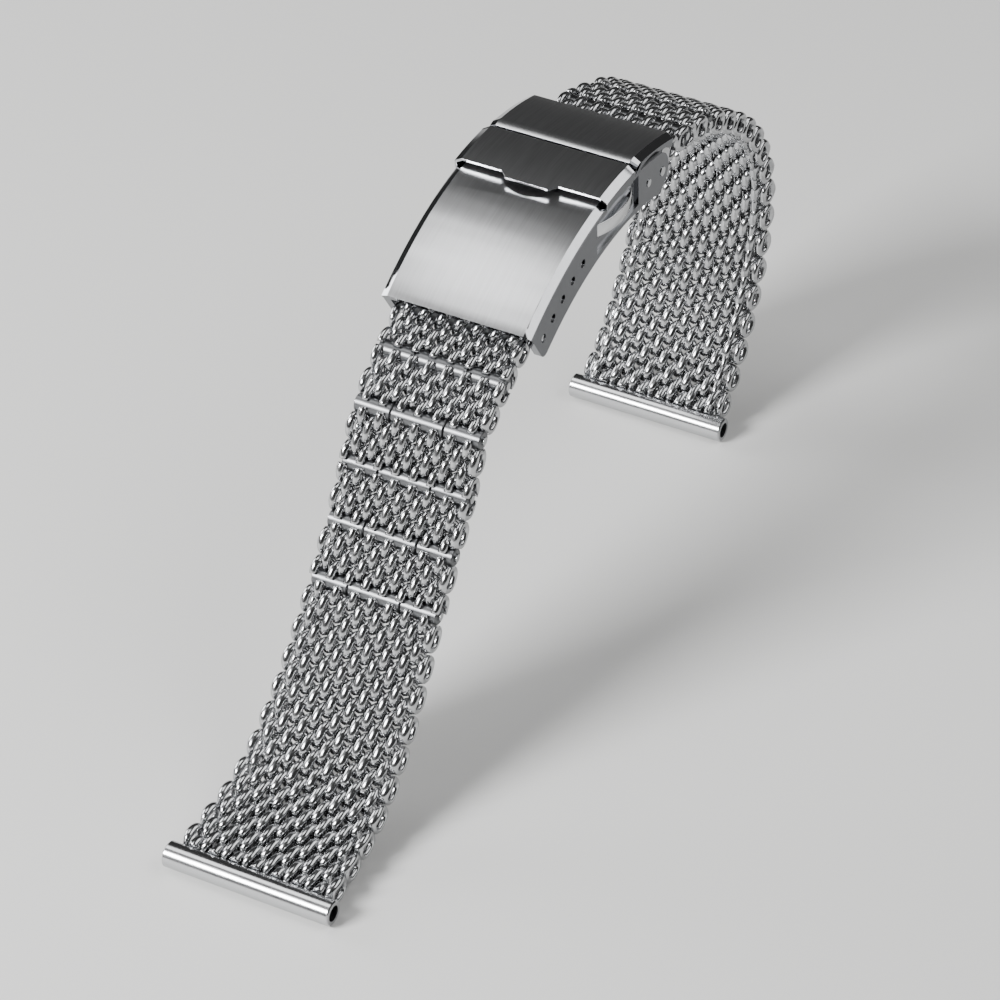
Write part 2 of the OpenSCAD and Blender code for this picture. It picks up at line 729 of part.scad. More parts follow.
module bar_tip(s, angle, radius, lug_face, lug_outer) {
    half = barrel_half(lug_face);
    guide_end = half - tip_inside + guide_overlap;
    shoulder_at = half + tip_travel + seat;
    color(steel) mirror([s < 0 ? 1 : 0, 0, 0]) on_clasp(angle, radius) {
        bar_between(guide_radius, guide_end - guide_length, guide_end);
        bar_between(tip_d / 2, half - tip_inside, lug_outer - clear);
        bar_between(bar_d / 2 - seat, shoulder_at, shoulder_at + shoulder);
    }
}

rear_lug_face = rear_barrel_half + tuck;

clasp_cover();
end_block();
block_rivet(1);  // block_rivet_right
block_rivet(-1);  // block_rivet_left
blade_pin();
safety_flap();
flap_pin();
button(1);  // button_right
button(-1);  // button_left
button_spring();
middle_blade();
lower_blade();
fold_pin();
bar_barrel(first_hole, hole_radius, inner_half);  // adjust_bar_barrel
bar_spring(first_hole, hole_radius, inner_half);  // adjust_bar_spring
bar_tip(1, first_hole, hole_radius, inner_half, clasp_width / 2);  // adjust_bar_tip_right
bar_tip(-1, first_hole, hole_radius, inner_half, clasp_width / 2);  // adjust_bar_tip_left
bar_barrel(rear_bar_angle, rear_bar_radius, rear_lug_face);  // rear_bar_barrel
bar_spring(rear_bar_angle, rear_bar_radius, rear_lug_face);  // rear_bar_spring
bar_tip(1, rear_bar_angle, rear_bar_radius, rear_lug_face, arm_out);  // rear_bar_tip_right
bar_tip(-1, rear_bar_angle, rear_bar_radius, rear_lug_face, arm_out);  // rear_bar_tip_left
front_link(0);  // front_link_1
front_link(1);  // front_link_2
front_link(2);  // front_link_3
front_link(3);  // front_link_4
front_link(4);  // front_link_5
link_pin(-1, front[1]);  // front_pin_1
link_pin(-1, front[2]);  // front_pin_2
link_pin(-1, front[3]);  // front_pin_3
link_pin(-1, front[4]);  // front_pin_4
link_pin(-1, front[5]);  // front_pin_5
front_mesh(0);  // front_mesh_1
front_mesh(1);  // front_mesh_2
front_mesh(2);  // front_mesh_3
front_mesh(3);  // front_mesh_4
front_mesh(4);  // front_mesh_5
lug_end(-1, front_last);  // front_lug_end
rear_link(0);  // rear_link_1
rear_link(1);  // rear_link_2
link_pin(1, rear[1]);  // rear_pin_1
link_pin(1, rear[2]);  // rear_pin_2
rear_mesh(0);  // rear_mesh_1
rear_mesh(1);  // rear_mesh_2
rear_mesh(2);  // rear_mesh_3
rear_mesh(3);  // rear_mesh_4
rear_mesh(4);  // rear_mesh_5
rear_mesh(5);  // rear_mesh_6
rear_mesh(6);  // rear_mesh_7
rear_mesh(7);  // rear_mesh_8
lug_end(1, rear_last);  // rear_lug_end
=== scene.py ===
import json
import math

import bmesh
import bpy
import numpy as np
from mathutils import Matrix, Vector


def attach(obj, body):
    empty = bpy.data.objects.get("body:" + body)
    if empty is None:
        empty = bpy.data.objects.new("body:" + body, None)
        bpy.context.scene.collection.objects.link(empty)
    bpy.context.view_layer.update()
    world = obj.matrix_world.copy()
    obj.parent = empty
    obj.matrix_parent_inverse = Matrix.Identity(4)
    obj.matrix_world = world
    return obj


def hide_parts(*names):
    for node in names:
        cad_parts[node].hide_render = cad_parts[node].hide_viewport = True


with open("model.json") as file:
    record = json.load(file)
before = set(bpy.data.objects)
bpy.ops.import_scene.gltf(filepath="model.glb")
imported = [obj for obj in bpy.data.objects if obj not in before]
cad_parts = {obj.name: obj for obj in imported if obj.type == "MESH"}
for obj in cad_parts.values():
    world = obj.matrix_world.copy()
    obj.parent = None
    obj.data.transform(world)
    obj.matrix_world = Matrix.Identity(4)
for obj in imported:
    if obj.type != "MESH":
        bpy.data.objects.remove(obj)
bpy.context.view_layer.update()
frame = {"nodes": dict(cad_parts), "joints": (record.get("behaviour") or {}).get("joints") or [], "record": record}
mm = 0.001
bodies = frame["record"]["behaviour"]["bodies"]
jointAt = {j["name"]: [1000 * v for v in j["pos_m"]] for j in frame["joints"] if j.get("pos_m")}
print("frame loaded")


# Where the band runs

band = {
    "linkPitch": 7.1,      # pin to pin
    "rowPitch": 1.84,      # one row of coil to the next in the mesh
    "rowsInStretch": 4,
    "tubeTail": 2.4,       # last hinge of the mesh to the tube's axis
}
# each half from the clasp to its tube: the heading of its first link, how far each link turns
# down from the one before, and how far each stretch of mesh does along its length, in degrees
halves = {
    "front": {
        "side": -1,
        "start": 28.7,
        "linkTurns": [0, 6.5, 28.5, -5.5, -3.5],
        "kink": 0,         # a turn between the last link and the mesh
        "meshTurns": [0, -8, -11, -27, -4],
    },
    "rear": {
        "side": 1,
        "start": -8.946224,
        "linkTurns": [0, 9],
        "kink": 4.5,
        "meshTurns": [10, 13, 21, 25.5, 18, 8.5, 10, 17],
    },
}


def stepOn(point, side, distance, heading):
    # a point moved along a heading in the plane of Y and Z, heading in degrees
    a = math.radians(heading)
    return (point[0] + side * distance * math.cos(a), point[1] + side * distance * math.sin(a))


def walkBand(label):
    # the links, then the stretches, then the lug end: each piece's start and heading, and for
    # a stretch the middle and heading of every row
    half = halves[label]
    side, heading = half["side"], half["start"]
    point = jointAt[f"{label}_link_1_hinge"][1:]
    links, meshes = [], []
    for turn in half["linkTurns"]:
        heading -= side * turn
        links.append({"start": point, "heading": heading})
        point = stepOn(point, side, band["linkPitch"], heading)
    heading -= side * half["kink"]
    for turn in half["meshTurns"]:
        start, rows = point, []
        for k in range(band["rowsInStretch"]):
            rowHeading = heading - side * turn * (k + 0.5) / band["rowsInStretch"]
            rows.append((stepOn(point, side, band["rowPitch"] / 2, rowHeading), rowHeading))
            point = stepOn(point, side, band["rowPitch"], rowHeading)
        meshes.append({"start": start, "heading": heading, "rows": rows})
        heading -= side * turn
    return links, meshes, {"start": point, "heading": heading}


# Mesh helpers

near = 0.01                            # millimetres within which two places are the same
crease = {"bar": 30, "sheet": 25}      # an edge that folds by more degrees is shaded sharp


def pointsOf(mesh):
    # the mesh's points as rows of X, Y and Z in metres
    points = np.empty(len(mesh.vertices) * 3, np.float32)
    mesh.vertices.foreach_get("co", points)
    return points.reshape(-1, 3).astype(float)


def turnOutwards(mesh):
    # flips a closed mesh whose faces point inwards: its volume then comes out below nothing
    mesh.calc_loop_triangles()
    corners = np.empty(len(mesh.loop_triangles) * 3, np.int32)
    mesh.loop_triangles.foreach_get("vertices", corners)
    a, b, c = pointsOf(mesh)[corners.reshape(-1, 3)].transpose(1, 0, 2)
    if (a * np.cross(b, c)).sum() < 0:
        mesh.flip_normals()


def makeObject(name, verts, quads, material, caps=(), fold=180):
    # verts in millimetres, quads as rows of four indices, caps as lists of indices;
    # the shading is smooth and breaks at edges that fold by more than the angle given
    mesh = bpy.data.meshes.new(name)
    faces = np.asarray(quads, int).tolist() + [list(map(int, cap)) for cap in caps]
    mesh.from_pydata((np.asarray(verts, float) * mm).tolist(), [], faces)
    mesh.polygons.foreach_set("use_smooth", [True] * len(mesh.polygons))
    turnOutwards(mesh)
    if fold < 180:
        mesh.set_sharp_from_angle(angle=math.radians(fold))
    mesh.materials.append(material)
    mesh.update()
    obj = bpy.data.objects.new(name, mesh)
    bpy.context.scene.collection.objects.link(obj)
    return obj


def carry(obj, body, node=None):
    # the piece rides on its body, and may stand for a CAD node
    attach(obj, body)
    if node:
        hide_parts(node)


def gridQuads(rows, columns, closedColumns=True):
    # quads of a grid whose columns join up into a ring when closedColumns
    r = np.arange(rows - 1)[:, None]
    c = np.arange(columns if closedColumns else columns - 1)[None, :]
    d = (c + 1) % columns
    return np.stack([r * columns + c, r * columns + d, (r + 1) * columns + d,
                     (r + 1) * columns + c], -1).reshape(-1, 4)


def sheetBetween(outer, inner):
    # a closed sheet: two grids of points with as many rows and columns, joined round their rims
    rows, columns = outer.shape[:2]
    count = rows * columns
    grid = gridQuads(rows, columns, closedColumns=False)
    at = np.arange(count).reshape(rows, columns)
    ring = np.concatenate([at[0, :-1], at[:-1, -1], at[-1, :0:-1], at[:0:-1, 0]])
    after = np.roll(ring, -1)
    rim = np.stack([after, ring, ring + count, after + count], -1)
    points = np.concatenate([outer.reshape(-1, 3), inner.reshape(-1, 3)])
    return points, np.vstack([grid, grid[:, ::-1] + count, rim]), []


def plateAcross(outline, low, high):
    # a flat outline of Y and Z points, given its thickness across the band
    n = len(outline)
    sides = [np.column_stack([np.full(n, x), outline]) for x in (low, high)]
    i = np.arange(n)
    quads = np.stack([i, (i + 1) % n, (i + 1) % n + n, i + n], -1)
    return np.vstack(sides), quads, [list(range(n))[::-1], list(range(n, 2 * n))]


def joinParts(parts):
    # one vertex array, quads and caps from several parts
    verts, quads, caps, base = [], [], [], 0
    for v, q, c in parts:
        verts.append(v)
        quads.append(q + base)
        caps += [[i + base for i in ring] for ring in c]
        base += len(v)
    return np.vstack(verts), np.vstack(quads), caps


def mirrored(right):
    # places across the band: those on the left, the middle, and those given on the right
    return np.array([-x for x in right[::-1]] + [0] + right)


def eased(share):
    # a share from 0 to 1 that starts and ends slowly: 3 s^2 - 2 s^3
    return share * share * (3 - 2 * share)


def tubeAlong(path, outward, height, width, sides):
    # an ellipse carried along a path: point + height * cos a * n + width * sin a * (t x n),
    # where t is the path's direction and n is the outward direction made square to t;
    # height and width are single values or one for each point of the path
    t = np.gradient(path, axis=0)
    t /= np.linalg.norm(t, axis=1)[:, None]
    n = outward - (outward * t).sum(1)[:, None] * t
    n /= np.linalg.norm(n, axis=1)[:, None]
    b = np.cross(t, n)
    a = np.linspace(0, 2 * math.pi, sides, endpoint=False)
    count = len(path)
    high = np.broadcast_to(height, count)[:, None, None] * np.cos(a)[None, :, None]
    wide = np.broadcast_to(width, count)[:, None, None] * np.sin(a)[None, :, None]
    ring = path[:, None, :] + high * n[:, None, :] + wide * b[:, None, :]
    caps = [list(range(sides))[::-1], list(range((count - 1) * sides, count * sides))]
    return ring.reshape(-1, 3), gridQuads(count, sides), caps


# Materials

grain = {
    "detail": 6,
    "contrast": 0.65,      # how much the finer grain counts
    "span": (0.3, 0.7),    # the noise values that the roughness and the tint are spread over
}


def steelMaterial(name, settings):
    # steel with fine lines or grain in its roughness and surface, read from object coordinates,
    # or from the clasp's own coordinates where the lines follow its curve
    mat = bpy.data.materials.new(name)
    mat.use_nodes = True
    nodes, links = mat.node_tree.nodes, mat.node_tree.links
    shader = nodes["Principled BSDF"]
    shader.inputs["Metallic"].default_value = 1.0
    shader.inputs["Base Color"].default_value = (*settings["color"], 1)
    place = nodes.new("ShaderNodeMapping")
    place.inputs["Scale"].default_value = settings["stretch"]
    if settings.get("alongClasp"):
        coords = nodes.new("ShaderNodeAttribute")
        coords.attribute_name = "claspPath"
        links.new(coords.outputs["Vector"], place.inputs["Vector"])
    else:
        coords = nodes.new("ShaderNodeTexCoord")
        links.new(coords.outputs["Object"], place.inputs["Vector"])
    noise = nodes.new("ShaderNodeTexNoise")
    noise.inputs["Scale"].default_value = settings["grainScale"]
    noise.inputs["Detail"].default_value = settings.get("detail", grain["detail"])
    noise.inputs["Roughness"].default_value = grain["contrast"]
    links.new(place.outputs["Vector"], noise.inputs["Vector"])
    rough = nodes.new("ShaderNodeMapRange")
    rough.inputs["From Min"].default_value, rough.inputs["From Max"].default_value = grain["span"]
    rough.inputs["To Min"].default_value = settings["roughness"][0]
    rough.inputs["To Max"].default_value = settings["roughness"][1]
    links.new(noise.outputs["Fac"], rough.inputs["Value"])
    links.new(rough.outputs["Result"], shader.inputs["Roughness"])
    # the vector sockets share their names with the plain ones, so they are taken by number
    tint = nodes.new("ShaderNodeMapRange")
    tint.data_type = "FLOAT_VECTOR"
    for i in (0, 1):
        tint.inputs[7 + i].default_value = (grain["span"][i],) * 3
        tint.inputs[9 + i].default_value = tuple(c * settings["tint"][i] for c in settings["color"])
    links.new(noise.outputs["Fac"], tint.inputs[6])
    links.new(tint.outputs[1], shader.inputs["Base Color"])
    bump = nodes.new("ShaderNodeBump")
    bump.inputs["Strength"].default_value = settings["bump"]
    bump.inputs["Distance"].default_value = settings["bumpDepth"] * mm
    links.new(noise.outputs["Fac"], bump.inputs["Height"])
    links.new(bump.outputs["Normal"], shader.inputs["Normal"])
    return mat


# roughness and tint are each a pair of limits, and stretch is below 1 along the lines
wireSteel = steelMaterial("coiledWireSteel", {
    "color": (0.5, 0.505, 0.515), "roughness": (0.14, 0.26), "tint": (0.86, 1.06),
    "stretch": (1, 1, 1), "grainScale": 1500, "bump": 0.08, "bumpDepth": 0.008})
# knuckle steel painted dark: painted shade of the seams between the links, over a drawn grain
knuckleShadeSteel = steelMaterial("drawnKnuckleSteel", {
    "color": (0.15, 0.153, 0.158), "roughness": (0.28, 0.4), "tint": (0.86, 1.08),
    "stretch": (0.05, 1, 1), "grainScale": 6000, "bump": 0.15, "bumpDepth": 0.006})
brushedSteel = steelMaterial("brushedClaspSteel", {
    "color": (0.58, 0.585, 0.595), "roughness": (0.275, 0.29), "tint": (0.94, 1.06),
    "stretch": (1, 0.03, 1), "grainScale": 5500, "detail": 1, "bump": 0.01, "bumpDepth": 0.001,
    "alongClasp": True})
polishedSteel = steelMaterial("polishedSteel", {
    "color": (0.46, 0.465, 0.48), "roughness": (0.05, 0.1), "tint": (0.96, 1.03),
    "stretch": (1, 1, 1), "grainScale": 900, "bump": 0.04, "bumpDepth": 0.008})
# polished steel painted dark: painted shade and painted dark reflection for the side walls and steep faces
shadeSideSteel = steelMaterial("deepPolishedSteel", {
    "color": (0.14, 0.145, 0.155), "roughness": (0.05, 0.1), "tint": (0.94, 1.04),
    "stretch": (1, 1, 1), "grainScale": 700, "bump": 0.04, "bumpDepth": 0.008})
buttonSteel = steelMaterial("polishedButtonSteel", {
    "color": (0.62, 0.625, 0.635), "roughness": (0.08, 0.14), "tint": (0.95, 1.03),
    "stretch": (1, 1, 1), "grainScale": 1200, "bump": 0.04, "bumpDepth": 0.006})
tubeSteel = steelMaterial("lugTubeSteel", {
    "color": (0.52, 0.525, 0.535), "roughness": (0.18, 0.24), "tint": (0.95, 1.03),
    "stretch": (0.03, 1, 1), "grainScale": 7000, "bump": 0.12, "bumpDepth": 0.005})
bladeSteel = steelMaterial("satinBladeSteel", {
    "color": (0.54, 0.545, 0.555), "roughness": (0.26, 0.38), "tint": (0.92, 1.05),
    "stretch": (1, 0.03, 0.3), "grainScale": 7000, "bump": 0.2, "bumpDepth": 0.008})
springSteel = steelMaterial("drawnSpringSteel", {
    "color": (0.42, 0.43, 0.45), "roughness": (0.25, 0.38), "tint": (0.9, 1.05),
    "stretch": (0.2, 1, 1), "grainScale": 4000, "bump": 0.2, "bumpDepth": 0.01})
pinSteel = steelMaterial("turnedPinSteel", {
    "color": (0.6, 0.61, 0.62), "roughness": (0.12, 0.2), "tint": (0.92, 1.04),
    "stretch": (1, 0.1, 0.1), "grainScale": 5000, "bump": 0.15, "bumpDepth": 0.006})
print("materials made")


# Woven coils

weave = {
    "coilReach": 1.48,     # half the length of a coil along the band, to the wire's middle
    "coilRise": 1.21,      # half its height
    "lean": 0.06,          # share of the strand pitch by which the front passes lean
    "fullness": 2.5,       # power of the coil's closed curve: 2 is an ellipse, more is squarer
    "wireHeight": 0.48,    # half the rolled wire's height
    "wireWidth": 0.6,      # half its width in the mesh
    "linkWireWidth": 0.53, # half its width in the links, whose strands lie closer
    "growRows": 6,         # rows of mesh over which the one width becomes the other
    "loopWire": 0.4,       # half the round wire of the loops at both edges
    "loopReach": 0.94,     # those loops' length as a share of the others'
    "loopTurn": 1.98,      # half turns that a loop takes, just short of closing on itself
    "loopEase": 0.4,       # half turns over which the wire becomes the loop's
    "sides": 10,
    "stepsPerTurn": 30,
    "linkWidth": 17.4,
    "lugWidth": 20.6,
    "turns": 7,            # pitches across a full row
    "linkRows": 4,
    "linkRowPitch": 1.78,
    "rowsAtPin": 2,        # rows of the first stretch that reach its pin
    "seamGap": 0.07,       # least distance of a cut edge from the plane it may turn to
    "seamRadius": 1.22,    # the cut stays this far from the pin's axis
    "turnOut": 12,         # furthest that a hinge turns from rest, outwards and inwards
    "turnIn": 14,
}


def coilRow(width, short, halfWidth):
    # a flattened coil across the band: at the angle t round it, x = p (t - pi/2) / 2 pi + q sin 2t
    # with the pitch p and the lean q, and the point stands on |s / a| ^ n + |z / b| ^ n = 1;
    # x is held for almost a whole turn at each end, which makes a slender loop in its own plane
    pitch = (width - 2 * halfWidth) / weave["turns"]
    count = weave["turns"] + (0 if short else 1)
    first = -pitch * (count - 1) / 2
    start, end = math.pi / 2, math.pi / 2 + 2 * math.pi * (count - 1)
    extra = weave["loopTurn"] * math.pi
    t = np.linspace(start - extra, end + extra, weave["stepsPerTurn"] * (count + 1))
    loop = np.maximum(start - t, t - end) / (weave["loopEase"] * math.pi)
    loop = eased(np.clip(loop, 0, 1))
    x = pitch * (t - math.pi / 2) / (2 * math.pi) + weave["lean"] * pitch * np.sin(2 * t)
    x = first + np.clip(x, 0, pitch * (count - 1))
    n, a, b = weave["fullness"], weave["coilReach"], weave["coilRise"]
    cosine, sine = -np.cos(t), np.sin(t)
    size = (np.abs(cosine / a) ** n + np.abs(sine / b) ** n) ** (-1 / n)
    s, z = size * cosine * (1 + (weave["loopReach"] - 1) * loop), size * sine
    path = np.stack([x, s, z], 1)
    outward = np.stack([0 * x, np.sign(s) * np.abs(s) ** (n - 1) / a ** n,
                        np.sign(z) * np.abs(z) ** (n - 1) / b ** n], 1)
    wireHigh = weave["wireHeight"] + (weave["loopWire"] - weave["wireHeight"]) * loop
    wireWide = halfWidth + (weave["loopWire"] - halfWidth) * loop
    return tubeAlong(path, outward, wireHigh, wireWide, weave["sides"])


def toLocal(verts, side, middle):
    # from the coil's own s, which runs towards the clasp, to distance along the piece
    flip = 1 if side < 0 else -1
    return np.stack([flip * verts[:, 0], middle - verts[:, 1], verts[:, 2]], 1)


def toBand(local, side, start, heading):
    # local x, distance away from the clasp and height, turned and moved onto the band
    a = math.radians(heading)
    y, z = side * local[:, 1], local[:, 2]
    return np.stack([local[:, 0], start[0] + y * math.cos(a) - z * math.sin(a),
                     start[1] + y * math.sin(a) + z * math.cos(a)], 1)


def cutAtPin(local, pinAt, towards, bend):
    # push wire back to a cut edge beside the pin: clear of the knuckle's circle, and behind the
    # plane through the pin's axis that leans by half of what the hinge may turn on that side;
    # the hinge is bent inwards by the bend at rest
    z = local[:, 2]
    outwards = math.radians(max(weave["turnOut"] - bend, 0) / 2)
    inwards = math.radians(max(weave["turnIn"] + bend, 0) / 2)
    lean = np.where(z > 0, z * math.tan(outwards), -z * math.tan(inwards)) + weave["seamGap"]
    circle = np.sqrt(np.maximum(weave["seamRadius"] ** 2 - z ** 2, 0))
    edge = np.maximum(circle, lean)
    if towards > 0:
        local[:, 1] = np.maximum(local[:, 1], pinAt + edge)
    else:
        local[:, 1] = np.minimum(local[:, 1], pinAt - edge)
    return local


def placeParts(name, side, piece, parts, steel, fold=180):
    # parts in the piece's own coordinates, joined and put on the band as one object
    placed = [(toBand(v, side, piece["start"], piece["heading"]), q, c) for v, q, c in parts]
    verts, quads, caps = joinParts(placed)
    return makeObject(name, verts, quads, steel, caps=caps, fold=fold)


# Knuckles and tubes

knuckle = {
    "radius": 1.16,
    "bore": 0.53,
    "chamfer": 0.12,
    "middle": 3.45,        # half the middle knuckle's length
    "from": 3.55,          # the two beside it, from the middle of the band
    "to": 8.3,
    "barrelBore": 0.95,    # the barrel over a spring bar, and half its length in the upper half
    "rearBarrel": 7.8,
    "sides": 40,
}


def barAcross(radius, bore, low, high, at=(0, 0), sides=knuckle["sides"],
              chamfer=knuckle["chamfer"]):
    # a bored bar across the band: a chamfered profile turned about X
    profile = np.array([[low, bore], [low, radius - chamfer], [low + chamfer, radius],
                        [high - chamfer, radius], [high, radius - chamfer], [high, bore]])
    a = np.linspace(0, 2 * math.pi, sides, endpoint=False)
    ring = np.stack([np.repeat(profile[:, 0:1], sides, 1),
                     profile[:, 1:2] * np.cos(a) + at[0],
                     profile[:, 1:2] * np.sin(a) + at[1]], -1)
    quads = gridQuads(len(profile), sides)
    last = (len(profile) - 1) * sides
    c = np.arange(sides)
    inner = np.stack([last + c, last + (c + 1) % sides, (c + 1) % sides, c], -1)
    return ring.reshape(-1, 3), np.vstack([quads, inner]), []


def outerKnuckles():
    # the pair that takes the middle knuckle of the link before between them
    return [barAcross(knuckle["radius"], knuckle["bore"], low, high)
            for low, high in ((knuckle["from"], knuckle["to"]), (-knuckle["to"], -knuckle["from"]))]


def weaveLink(name, side, piece, index, bends):
    # four rows cut off at both pins, with knuckles that meet in a hinge
    rows = []
    for k in range(weave["linkRows"]):
        middle = band["linkPitch"] / 2 + (k - (weave["linkRows"] - 1) / 2) * weave["linkRowPitch"]
        v, q, c = coilRow(weave["linkWidth"], (k + index) % 2 == 0, weave["linkWireWidth"])
        local = toLocal(v, side, middle)
        local = cutAtPin(local, 0, 1, bends[0])
        local = cutAtPin(local, band["linkPitch"], -1, bends[1])
        rows.append((local, q, c))
    wire = placeParts(name + "Weave", side, piece, rows, wireSteel)
    # the link at the clasp has one barrel over a spring bar
    if index == 0:
        half = knuckle["to"] if side < 0 else knuckle["rearBarrel"]
        bars = [barAcross(knuckle["radius"], knuckle["barrelBore"], -half, half)]
    else:
        bars = outerKnuckles()
    bars.append(barAcross(knuckle["radius"], knuckle["bore"], -knuckle["middle"],
                          knuckle["middle"], (band["linkPitch"], 0)))
    # the knuckles take the steel painted dark as the seams' painted shade
    return wire, placeParts(name + "Knuckles", side, piece, bars, knuckleShadeSteel,
                            fold=crease["bar"])


def weaveStretch(name, side, piece, rowsBefore, rowsTotal, pinnedBend=None):
    # the rows of one stretch, each turned to its own heading on the curve; the band widens
    # evenly from the links to the tube, and the rows nearest to the pin are cut there
    parts = []
    growth = weave["lugWidth"] - weave["linkWidth"]
    for k, (middle, heading) in enumerate(piece["rows"]):
        n = rowsBefore + k
        width = weave["linkWidth"] + growth * (n + 0.5) / rowsTotal
        grown = min(1, (n + 0.5) / weave["growRows"])
        halfWidth = weave["linkWireWidth"] + (weave["wireWidth"] - weave["linkWireWidth"]) * grown
        v, q, c = coilRow(width, n % 2 == 0, halfWidth)
        local = toLocal(v, side, 0)
        if pinnedBend is not None and k < weave["rowsAtPin"]:
            local = cutAtPin(local, -(k + 0.5) * band["rowPitch"], 1, pinnedBend)
        parts.append((toBand(local, side, middle, heading), q, c))
    verts, quads, caps = joinParts(parts)
    return makeObject(name + "Weave", verts, quads, wireSteel, caps=caps)


lugTube = {
    "radius": 1.6,
    "bore": 1.0,
    "half": 11,            # half its length across the band
    "chamfer": 0.15,
    "sides": 64,
    "rowAt": 0.7,          # middle of the last row, from the last hinge
    "rowClear": 1.2,       # that row's wire stops at least this far short of the tube's axis
}


def buildLugEnd(label, side, piece, rowsBefore):
    # the last row of coil, stopped along the round of the tube, and the bored tube
    v, q, c = coilRow(weave["lugWidth"], rowsBefore % 2 == 0, weave["wireWidth"])
    local = toLocal(v, side, lugTube["rowAt"])
    squareRadius = lugTube["radius"] ** 2
    squareHeight = np.minimum(local[:, 2] ** 2, squareRadius)
    edge = np.maximum(np.sqrt(squareRadius - squareHeight), lugTube["rowClear"])
    local[:, 1] = np.minimum(local[:, 1], band["tubeTail"] - edge)
    wire = placeParts(f"{label}LugWeave", side, piece, [(local, q, c)], wireSteel)
    bar = barAcross(lugTube["radius"], lugTube["bore"], -lugTube["half"], lugTube["half"],
                    (band["tubeTail"], 0), lugTube["sides"], lugTube["chamfer"])
    tube = placeParts(f"{label}LugTube", side, piece, [bar], tubeSteel,
                      fold=crease["bar"])
    carry(wire, f"{label}_lug_end")
    carry(tube, f"{label}_lug_end", f"{label}_lug_end")


def buildHalf(label):
    # all links, stretches and the lug end; bends are how far each hinge is bent inwards at rest
    side = halves[label]["side"]
    links, meshes, lugEnd = walkBand(label)
    headings = [piece["heading"] for piece in links] + [meshes[0]["rows"][0][1]]
    bends = [0] + [-side * (b - a) for a, b in zip(headings, headings[1:])]
    for i, piece in enumerate(links):
        node = f"{label}_link_{i + 1}"
        wire, bar = weaveLink(f"{label}Link{i + 1}", side, piece, i, bends[i:i + 2])
        carry(wire, node, node)
        carry(bar, node)
    rowsTotal = len(meshes) * band["rowsInStretch"]
    for i, piece in enumerate(meshes):
        node = f"{label}_mesh_{i + 1}"
        wire = weaveStretch(f"{label}Mesh{i + 1}", side, piece, i * band["rowsInStretch"],
                            rowsTotal, bends[-1] if i == 0 else None)
        carry(wire, node, node)
        if i == 0:
            bar = placeParts(f"{label}MeshKnuckles", side, piece, outerKnuckles(), knuckleShadeSteel,
                             fold=crease["bar"])
            carry(bar, node)
    buildLugEnd(label, side, lugEnd, rowsTotal)


buildHalf("front")
buildHalf("rear")
print("band woven")


# Clasp

clasp = {
    "radius": 45,           # the cover's outer face, from the clasp's centre
    "hingeAngle": 1.5,      # the flap's hinge, degrees from the clasp's highest point
    "hingeRadius": 44.75,   # its axis, from the clasp's centre
    "wallCorner": 1.1,      # round at the lower end of each side wall, and its steps
    "wallCornerSteps": 7,
    "brushedFacing": 0.955, # brushed where a face's cosine to the clasp's radius is above this
    "bevelFacing": 0.8,     # polished down to this, and painted dark below it as painted shade and painted dark reflection
    "sideFacing": 0.9,      # or where its cosine to X is above this
}
hingeLean = math.radians(clasp["hingeAngle"])
upAxis = np.array([math.sin(hingeLean), math.cos(hingeLean)])
alongAxis = np.array([math.cos(hingeLean), -math.sin(hingeLean)])
flapAxis = np.array(jointAt["flap_hinge"][1:])
claspCentre = flapAxis - clasp["hingeRadius"] * upAxis


def onArc(radius, angle):
    # points of Y and Z on an arc about the clasp's centre, angles from its highest point
    return claspCentre + radius * np.column_stack([np.sin(angle), np.cos(angle)])


def claspCoordinates(mesh):
    # each point as its distance across the band, its arc length on the cover's face and its
    # height: x, R * atan2(y, z), and sqrt(y^2 + z^2) about the clasp's centre
    x, y, z = pointsOf(mesh).T
    y, z = y - claspCentre[0] * mm, z - claspCentre[1] * mm
    path = np.stack([x, clasp["radius"] * mm * np.arctan2(y, z), np.hypot(y, z)], -1)
    store = mesh.attributes.new("claspPath", "FLOAT_VECTOR", "POINT")
    store.data.foreach_set("vector", path.astype(np.float32).ravel())


def finishAndShadeByFacing(mesh, brushedFacing=clasp["brushedFacing"], bevelFacing=clasp["bevelFacing"]):
    # brushed where a face looks outwards or inwards from the clasp's centre, polished where it
    # leans away as the bevels do, and polished steel painted dark on the sides and on what leans further, as
    # painted shade and painted dark reflection
    middles, facing = (np.empty(len(mesh.polygons) * 3, np.float32) for i in range(2))
    mesh.polygons.foreach_get("center", middles)
    mesh.polygons.foreach_get("normal", facing)
    facing = facing.reshape(-1, 3)
    out = middles.reshape(-1, 3)[:, 1:] - claspCentre * mm
    out /= np.linalg.norm(out, axis=1)[:, None]
    cosine = np.abs((out * facing[:, 1:]).sum(1))
    mesh.materials.clear()
    for steel in (brushedSteel, polishedSteel, shadeSideSteel):
        mesh.materials.append(steel)
    # side faces and steeply leaning faces get the painted shade and painted dark reflection
    paintedShade = (np.abs(facing[:, 0]) > clasp["sideFacing"]) | (cosine < bevelFacing)
    kind = np.where(cosine > brushedFacing, 0, np.where(paintedShade, 2, 1)).astype(np.int32)
    mesh.polygons.foreach_set("material_index", kind)


rounding = {"steps": 3, "angle": 28}   # edges that fold by more degrees are rounded


def roundEdges(obj, width):
    # small round edges, which catch the light as a pressed or filed edge does
    bevel = obj.modifiers.new("roundedEdges", "BEVEL")
    bevel.width = width * mm
    bevel.segments = rounding["steps"]
    bevel.limit_method = "ANGLE"
    bevel.angle_limit = math.radians(rounding["angle"])
    bevel.harden_normals = True
    bevel.miter_outer = "MITER_ARC"


